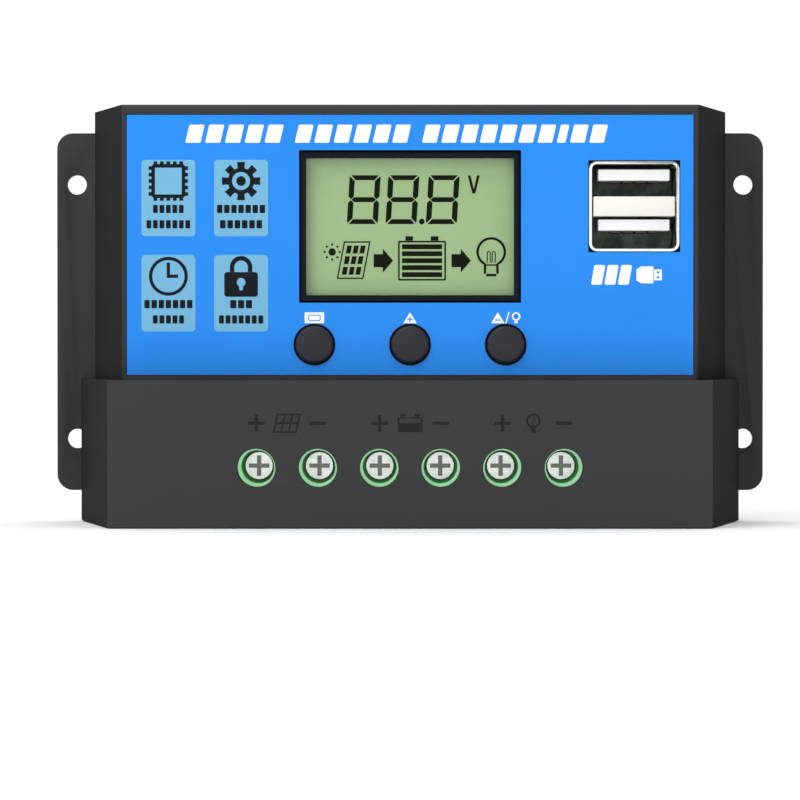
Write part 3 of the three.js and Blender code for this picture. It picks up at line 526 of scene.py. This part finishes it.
def figure_outlines(x, z, width=5.7, height=8.96, stroke=1.0, lean=0.06, gap=0.08):
    """All seven segments of a figure about its centre, mitred at the corners."""
    w, h, t = width / 2, height / 2, stroke
    shapes = []
    for up in (-1, 1):
        shapes.append([(-w + 0.25 + gap, up * h), (w - 0.25 - gap, up * h),
                       (w - t - gap, up * (h - t + 0.1)), (-w + t + gap, up * (h - t + 0.1))])
        for side in (-1, 1):
            shapes.append([(side * w, up * (h - 0.35 - gap)), (side * (w - 0.12), up * (h - 0.12 - gap)),
                           (side * (w - t), up * (h - t - gap)), (side * (w - t), up * (t / 2 + gap)),
                           (side * (w - t / 2), up * gap), (side * w, up * (t / 2 + gap))])
    shapes.append([(-w + t / 2 + gap, 0), (-w + t + gap, t / 2 - 0.05), (w - t - gap, t / 2 - 0.05),
                   (w - t / 2 - gap, 0), (w - t - gap, -t / 2 + 0.05), (-w + t + gap, -t / 2 + 0.05)])
    return [[(x + a + lean * b, z + b) for a, b in shape] for shape in shapes]


def stroke_outline(points, width):
    """A line of points drawn with a pen of this width."""
    left, right = [], []
    for i, (x, z) in enumerate(points):
        before, after = points[max(i - 1, 0)], points[min(i + 1, len(points) - 1)]
        run = math.hypot(after[0] - before[0], after[1] - before[1])
        across = (-(after[1] - before[1]) / run * width / 2, (after[0] - before[0]) / run * width / 2)
        left.append((x + across[0], z + across[1]))
        right.append((x - across[0], z - across[1]))
    return left + right[::-1]


# Three figures, the point before the last of them, and the volt sign
figure_places, figure_rise = (-8.5, -1.4, 6.0), 5.0
figures = [shape for x in figure_places for shape in figure_outlines(screen_x + x, screen_z + figure_rise)]
figures.append(round_outline(screen_x + 2.15, screen_z + 0.98, 0.53, 20))
figures.append([(screen_x + a, screen_z + b) for a, b in (
    (10.6, 9.45), (11.1, 9.45), (11.7, 6.95), (12.3, 9.45), (12.8, 9.45), (11.98, 6.15), (11.42, 6.15))])
printed("screen_figures", figures, glass_front, segment_ink)

# The panel with the sun above it: three by three cells on a leaning frame
panel_x, panel_z, panel_lean = screen_x - 10.35, screen_z - 6.1, 0.19
panel = [bar_outline(panel_x, panel_z, width, height, 0, panel_lean)
         for width, height in ((4.9, 6.9), (4.4, 6.4))]
for column in (-1, 0, 1):
    for row in (-1, 0, 1):
        cell_x, cell_z = column * 1.25, row * 1.95
        panel.append(bar_outline(panel_x + cell_x + panel_lean * cell_z, panel_z + cell_z, 0.88, 1.44,
                                 0, panel_lean))
sun_x, sun_z = screen_x - 14.3, screen_z - 4.6
sun = [round_outline(sun_x, sun_z, 0.68, 24)]
for ray in range(8):
    sun.append(stroke_outline([on_circle(sun_x, sun_z, reach, 45 * ray) for reach in (1.18, 1.56)], 0.34))

# Arrows, the battery with its charge bars, and the lamp
arrows = []
for centre in (-4.9, 9.4):
    x, z = screen_x + centre, screen_z - 6.2
    arrows.append([(x - 1.78, z - 1.2), (x - 0.1, z - 1.2), (x - 0.1, z - 2.2), (x + 1.78, z),
                   (x - 0.1, z + 2.2), (x - 0.1, z + 1.2), (x - 1.78, z + 1.2)])
battery_x, battery_z = screen_x + 2.2, screen_z - 6.2
battery = [bar_outline(battery_x, battery_z, 8.8, 7.3, 0.3),
           bar_outline(battery_x, battery_z, 8.2, 6.7, 0.15)]
battery += [bar_outline(screen_x + x, battery_z + 4.08, 1.4, 0.8) for x in (-0.15, 4.5)]
battery += [bar_outline(battery_x, battery_z + 1.28 * bar, 7.35, 0.9) for bar in (-2, -1, 0, 1, 2)]
lamp_x, lamp_z = screen_x + 14.9, screen_z - 4.6
globe = [(lamp_x - 1.15, lamp_z - 4.0)]
globe += [on_circle(lamp_x, lamp_z, 2.5, turn) for turn in range(243, -64, -9)]
globe += [(lamp_x + 1.15, lamp_z - 4.0)]
lamp = [stroke_outline(globe, 0.46), bar_outline(lamp_x, lamp_z - 4.25, 1.9, 0.46, 0.15)]
for side in (-1, 1):
    loop = [(lamp_x + side * 0.18, lamp_z - 2.0), (lamp_x + side * 0.18, lamp_z - 0.2)]
    loop += [(lamp_x + side * (0.46 - 0.28 * math.cos(math.radians(turn))),
              lamp_z - 0.2 + 0.28 * math.sin(math.radians(turn))) for turn in (45, 90, 135)]
    loop += [(lamp_x + side * 0.74, lamp_z - 0.2), (lamp_x + side * 0.74, lamp_z - 2.0)]
    lamp.append(stroke_outline(loop, 0.2))
lamp.append(bar_outline(lamp_x, lamp_z - 2.4, 1.8, 0.26))
screen_signs = {"panel": panel, "sun": sun, "arrows": arrows, "battery": battery, "lamp": lamp}
for name, outlines in screen_signs.items():
    printed(f"screen_{name}", outlines, glass_front, segment_ink)


# --- Push buttons ------------------------------------------------------------------------------
# Three round caps in satin black plastic, each moulded with a slightly crowned face and a rounded
# edge. They slide in the housing and press the switches on the display board.

button_plastic = grained("button_plastic", (0.026, 0.024, 0.030), 0.42, 0.22 * MM, 0.012 * MM, specular=0.2)
for name in ("menu", "up", "down"):
    refined(f"button_{name}_cap", f"{name}_button", f"button_{name}", 0.45 * MM, button_plastic, segments=4)


# --- Marks over the terminals ------------------------------------------------------------------
# Tone-on-tone print in matt black on the cover: a plus and a minus at each pair of terminals, and
# between them the panel, the battery and the lamp.

cover_front = -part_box("terminal_cover")[0][1] / MM
mark_ink = ink_of("mark_ink", (0.0200, 0.0200, 0.0205), 0.62)
mark_z, mark_reach, mark_pen, mark_spread = -20.45, 1.5, 0.30, 5.55
pair_x = {"solar": -22.34, "battery": 0.0, "load": 22.34}
marks = {}
for name, x in pair_x.items():
    marks[name] = [cross(x - mark_spread, mark_z, mark_reach, mark_pen),
                   bar_outline(x + mark_spread, mark_z, 2 * mark_reach, 2 * mark_pen)]
x = pair_x["solar"]
mark_lean = 0.22
marks["solar"].append(bar_outline(x, mark_z, 4.4, 3.5, 0, mark_lean))
for column in (-1, 0, 1):
    for row in (-1, 1):
        cell_x, cell_z = column * 1.34, row * 0.82
        marks["solar"].append(bar_outline(x + cell_x + mark_lean * cell_z, mark_z + cell_z, 1.0, 1.2,
                                          0, mark_lean))
x = pair_x["battery"]
marks["battery"] += [bar_outline(x, mark_z - 0.25, 4.5, 2.7, 0.2), bar_outline(x, mark_z + 0.45, 3.8, 0.75),
                     bar_outline(x - 1.3, mark_z + 1.45, 0.9, 0.5),
                     bar_outline(x + 1.3, mark_z + 1.45, 0.9, 0.5)]
x = pair_x["load"]
marks["load"] += [round_outline(x, mark_z + 0.45, 1.3, 32), round_outline(x, mark_z + 0.45, 0.95, 28),
                  bar_outline(x, mark_z - 1.25, 0.95, 0.9, 0.15),
                  stroke_outline([(x, mark_z - 0.45), (x - 0.25, mark_z + 0.25), (x + 0.25, mark_z + 0.55),
                                  (x, mark_z + 1.1)], 0.24)]
for name, outlines in marks.items():
    printed(f"cover_mark_{name}", outlines, cover_front, mark_ink)


# --- Screw terminals ---------------------------------------------------------------------------
# Three two-pole blocks moulded in light green nylon, with a tube round each screw. The zinc-plated
# screws have a cross recess and lift plated steel cages against tinned contact bars.


def green_nylon():
    """Light green nylon that glows with painted light at the tubes' mouths, fading towards their feet."""
    material, tree, shader = finish_of("green_nylon", (0.34, 0.62, 0.37), 0.42, specular=0.4)
    shader.inputs["Emission Strength"].default_value = 0.75
    tube_mouth, tube_foot = -30 * MM, -19 * MM
    place = tree.node("ShaderNodeTexCoord", output="Object")
    cloud = tree.node("ShaderNodeTexNoise", sockets={"Vector": place, "Scale": 420.0, "Detail": 3.0})
    fine = tree.node("ShaderNodeTexNoise", sockets={"Vector": place, "Scale": 3000.0, "Detail": 3.0})
    depth = tree.node("ShaderNodeSeparateXYZ", sockets={0: place}, output="Y")
    tone = cloud.ramp(0.3, 0.7)
    link(tree, tone.blend((0.31, 0.58, 0.34, 1), (0.37, 0.65, 0.40, 1)), shader, "Base Color")
    # Painted light: an emission that is full at the tubes' mouths and fades out towards their feet
    painted_tube_glow = depth.ramp(tube_mouth, tube_foot, 1.0, 0.0)
    link(tree, painted_tube_glow.blend((0, 0, 0, 1), (0.30, 0.62, 0.34, 1)), shader, "Emission Color")
    link(tree, fine * 0.16 + 0.34, shader, "Roughness")
    grain = tree.node("ShaderNodeBump", sockets={"Strength": 0.3, "Distance": 0.02 * MM, "Height": fine})
    link(tree, grain, shader, "Normal")
    return material


def plated(name, base, roughness):
    """Plated metal: fine tool marks, cloudy gloss and slightly duller spots."""
    material, tree, shader = finish_of(name, base, roughness, metallic=1.0)
    place = tree.node("ShaderNodeTexCoord", output="Object")
    drawn = tree.node("ShaderNodeMapping", sockets={"Vector": place, "Scale": (1.0, 0.25, 1.0)})
    tooled = tree.node("ShaderNodeTexNoise", sockets={"Vector": drawn, "Scale": 4200.0, "Detail": 4.0})
    cloud = tree.node("ShaderNodeTexNoise", sockets={"Vector": place, "Scale": 500.0, "Detail": 3.0})
    dull = tuple(c * 0.84 for c in base)
    tone = (cloud * 0.6 + tooled * 0.4).ramp(0.3, 0.65)
    link(tree, tone.blend((*dull, 1), (*base, 1)), shader, "Base Color")
    link(tree, cloud * 0.18 + tooled * 0.1 + (roughness - 0.14), shader, "Roughness")
    relief = tree.node("ShaderNodeBump", sockets={"Strength": 0.3, "Distance": 0.008 * MM, "Height": tooled})
    link(tree, relief, shader, "Normal")
    return material


nylon = green_nylon()
zinc = plated("zinc_plate", (0.86, 0.86, 0.87), 0.24)


def recessed_zinc(head_front):
    """Bright zinc on the head's face, with painted shade darkening the cross recess, which is also rougher.
    """
    material, tree, shader = finish_of("screw_zinc", (0.66, 0.66, 0.655), 0.20, metallic=1.0)
    place = tree.node("ShaderNodeTexCoord", output="Object")
    cloud = tree.node("ShaderNodeTexNoise", sockets={"Vector": place, "Scale": 900.0, "Detail": 3.0})
    depth = tree.node("ShaderNodeSeparateXYZ", sockets={0: place}, output="Y")
    bright = cloud.ramp(0.3, 0.7).blend((0.57, 0.57, 0.565, 1), (0.70, 0.70, 0.695, 1))
    # Painted shade: the cross recess below the head's face is darkened to a dull pinkish grey and made
    # rougher
    recess_shade = depth.ramp(head_front + 0.05 * MM, head_front + 0.30 * MM)
    link(tree, recess_shade.blend(bright, (0.27, 0.245, 0.25, 1)), shader, "Base Color")
    link(tree, cloud * 0.12 + recess_shade * 0.2 + 0.14, shader, "Roughness")
    return material


screw_zinc = recessed_zinc(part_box("terminal_screw_solar_plus")[0][1])
tinned = plated("tinned_copper", (0.80, 0.77, 0.72), 0.30)
rim_break = 0.09 * MM
for pair in ("solar", "battery", "load"):
    refined(f"terminal_housing_{pair}", "controller", f"terminal_block_{pair}", 0.09 * MM, nylon)
    for pole in ("plus", "minus"):
        end = f"{pair}_{pole}"
        screw = refined(f"clamp_screw_{end}", f"{end}_screw", f"terminal_screw_{end}", 0, screw_zinc)
        low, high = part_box(f"terminal_screw_{end}")
        axis_x, axis_z = (low[0] + high[0]) / 2, (low[2] + high[2]) / 2
        head_rim = (high[0] - low[0]) / 2
        # The bright face of the head reaches nearly to its rim, so the broken edge is drawn narrow
        for vertex in screw.data.vertices:
            across, up = vertex.co.x - axis_x, vertex.co.z - axis_z
            reach = math.hypot(across, up)
            if vertex.co.y < low[1] + 0.05 * MM and reach > head_rim * 0.8:
                grow = (head_rim - rim_break) / reach
                vertex.co.x, vertex.co.z = axis_x + across * grow, axis_z + up * grow
        refined(f"cage_{end}", f"{end}_cage", f"clamp_cage_{end}", 0.12 * MM, zinc)
        refined(f"contact_{end}", "controller", f"contact_bar_{end}", 0.08 * MM, tinned)


# --- Charging sockets --------------------------------------------------------------------------
# One nickel-plated steel shell round two sockets. A white moulding holds the two tongues, with four
# sprung contacts under each, and a white bar closes the front between the sockets.

nickel = plated("nickel_plate", (0.90, 0.89, 0.87), 0.22)
refined("socket_shell", "controller", "usb_shell", 0.14 * MM, nickel)


def socket_resin():
    """White at the tongues' ends, with painted shade darkening it to a mottled grey-green in the depth of the
    sockets.
    """
    material, tree, shader = finish_of("socket_resin", (0.84, 0.85, 0.84), 0.42, specular=0.3)
    place = tree.node("ShaderNodeTexCoord", output="Object")
    depth = tree.node("ShaderNodeSeparateXYZ", sockets={0: place}, output="Y")
    tongue_tip, socket_floor = -25 * MM, -19 * MM
    resin_mottle = tree.node("ShaderNodeTexNoise", sockets={"Vector": place, "Scale": 420.0, "Detail": 4.0})
    # Painted shade: the moulding turns dark grey-green from the tongues' tips back to the sockets' floor
    socket_shade = resin_mottle.ramp(0.35, 0.65).blend((0.055, 0.085, 0.070, 1), (0.17, 0.22, 0.19, 1))
    shaded = depth.ramp(tongue_tip, socket_floor)
    link(tree, shaded.blend((0.86, 0.87, 0.87, 1), socket_shade), shader, "Base Color")
    link(tree, resin_mottle * 0.2 + 0.34, shader, "Roughness")
    return material


white_moulding = socket_resin()
cream_moulding = grained("cream_moulding", (0.83, 0.82, 0.75), 0.42, 0.3 * MM, 0.01 * MM, spread=0.03)
refined("socket_moulding", "controller", "usb_insulator", 0.15 * MM, white_moulding)
refined("socket_bar", "controller", "usb_divider", 0.2 * MM, cream_moulding)

# The contacts: a strip with a raised spring at its front end, modelled once and copied
# Painted shade: the contacts' gold is made nearly black to stand for the shadow under the tongues
gold = plated("shade_darkened_gold", (0.085, 0.070, 0.048), 0.36)
shell_low, shell_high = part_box("usb_shell")
socket_x = (shell_low[0] + shell_high[0]) / 2
bar_low, bar_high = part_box("usb_divider")
tongue_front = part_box("usb_insulator")[0][1]
contact_length, contact_width, contact_thickness = 7.0 * MM, 1.7 * MM, 0.34 * MM
contact_pitch, contact_setback = 2.3 * MM, 0.9 * MM
spring_bow, spring_place, spring_spread = 0.22 * MM, 0.80, 0.16

bpy.ops.object.select_all(action="DESELECT")
bpy.ops.mesh.primitive_cube_add(size=1, location=(0, 0, 0))
strip = bpy.context.object
strip.scale = (contact_width, contact_length, contact_thickness)
bpy.ops.object.transform_apply(location=True, rotation=True, scale=True)
bpy.ops.object.mode_set(mode="EDIT")
bpy.ops.mesh.select_all(action="SELECT")
bpy.ops.mesh.subdivide(number_cuts=3)
bpy.ops.object.mode_set(mode="OBJECT")
for vertex in strip.data.vertices:
    along = -vertex.co.y / contact_length + 0.5
    vertex.co.z -= spring_bow * math.exp(-((along - spring_place) / spring_spread) ** 2)
strip.data.materials.append(gold)
edge = strip.modifiers.new("edge", "BEVEL")
edge.width, edge.segments = 0.03 * MM, 2
bpy.ops.object.modifier_apply(modifier="edge")


def tongue_underside(upper):
    """The height of a tongue's lower face, read from the moulding's vertices near its front."""
    front = tongue_front + 1.0 * MM
    middle = (bar_low[2] + bar_high[2]) / 2
    heights = [v.co.z for v in nodes["usb_insulator"].data.vertices if v.co.y < front and
               (v.co.z > middle) == upper]
    return min(heights)


for upper, place in ((True, "upper"), (False, "lower")):
    for number in range(4):
        copy = bpy.data.objects.new(f"socket_contact_{place}_{number + 1}", strip.data.copy())
        bpy.context.collection.objects.link(copy)
        copy.data.transform(Matrix.Translation((socket_x + (number - 1.5) * contact_pitch,
                                                tongue_front + contact_setback + contact_length / 2,
                                                tongue_underside(upper) - contact_thickness / 2)))
        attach(copy, "controller")
bpy.data.objects.remove(strip)


# --- Boards and their parts --------------------------------------------------------------------
# Inside the case: the main board with its power parts on the standoffs, and the display board that
# stands on the housing's posts. Green solder mask, black moulded chips, sleeved capacitors.


def solder_mask(name, base, copper):
    """Green lacquer over copper: straight traces show a little lighter through it."""
    material, tree, shader = finish_of(name, base, 0.34, specular=0.5)
    place = tree.node("ShaderNodeTexCoord", output="Object")
    traces = tree.node("ShaderNodeTexBrick", {"offset": 0.37}, {
        "Vector": tree.node("ShaderNodeMapping", sockets={"Vector": place,
                                                          "Rotation": (math.radians(90), 0, 0)}),
        "Scale": 260.0, "Mortar Size": 0.06, "Brick Width": 1.7, "Row Height": 0.42}, output="Fac")
    pads = tree.node("ShaderNodeTexVoronoi", sockets={"Vector": place, "Scale": 240.0},
                     output="Distance").ramp(0.10, 0.14, 1.0, 0.0)
    lacquer = traces.blend((*copper, 1), (*base, 1))
    link(tree, pads.blend(lacquer, (0.62, 0.58, 0.48, 1)), shader, "Base Color")
    link(tree, pads * 0.12 + 0.30, shader, "Roughness")
    relief = tree.node("ShaderNodeBump", sockets={"Strength": 0.5, "Distance": 0.03 * MM, "Height": traces})
    link(tree, relief, shader, "Normal")
    return material


mask = solder_mask("solder_mask", (0.008, 0.070, 0.022), (0.020, 0.140, 0.045))
dress(mask, "main_board", "display_board")

epoxy = grained("chip_epoxy", (0.012, 0.012, 0.013), 0.46, 0.25 * MM, 0.012 * MM, specular=0.4)
dress(epoxy, "microcontroller", "usb_regulator", "reverse_diode", "transistor_charge_a",
      "transistor_charge_b", "transistor_load_a", "transistor_load_b",
      "switch_body_menu", "switch_body_up", "switch_body_down")
ferrite = grained("ferrite", (0.045, 0.044, 0.043), 0.58, 0.4 * MM, 0.03 * MM, spread=0.25)
dress(ferrite, "inductor")
sleeve = grained("capacitor_sleeve", (0.010, 0.016, 0.045), 0.32, 0.6 * MM, 0.01 * MM, specular=0.5)
dress(sleeve, "capacitor_panel", "capacitor_battery")
pad_rubber = grained("pad_rubber", (0.22, 0.25, 0.30), 0.72, 0.3 * MM, 0.03 * MM)
dress(pad_rubber, "thermal_pad")
key_resin = grained("key_resin", (0.62, 0.60, 0.55), 0.40, 0.3 * MM, 0.01 * MM, spread=0.06)
dress(key_resin, "switch_plunger_menu", "switch_plunger_up", "switch_plunger_down")
diffuser = grained("light_guide", (0.78, 0.80, 0.74), 0.50, 0.4 * MM, 0.01 * MM, spread=0.03)
dress(diffuser, "display_backlight")
brass = plated("brass_pins", (0.80, 0.66, 0.42), 0.26)
dress(brass, "pin_header")
dress(tinned, "shunt_link")
for corner in ("top_left", "top_right", "bottom_left", "bottom_right"):
    refined(f"rear_screw_{corner}", "controller", f"case_screw_{corner}", 0.1 * MM, zinc)
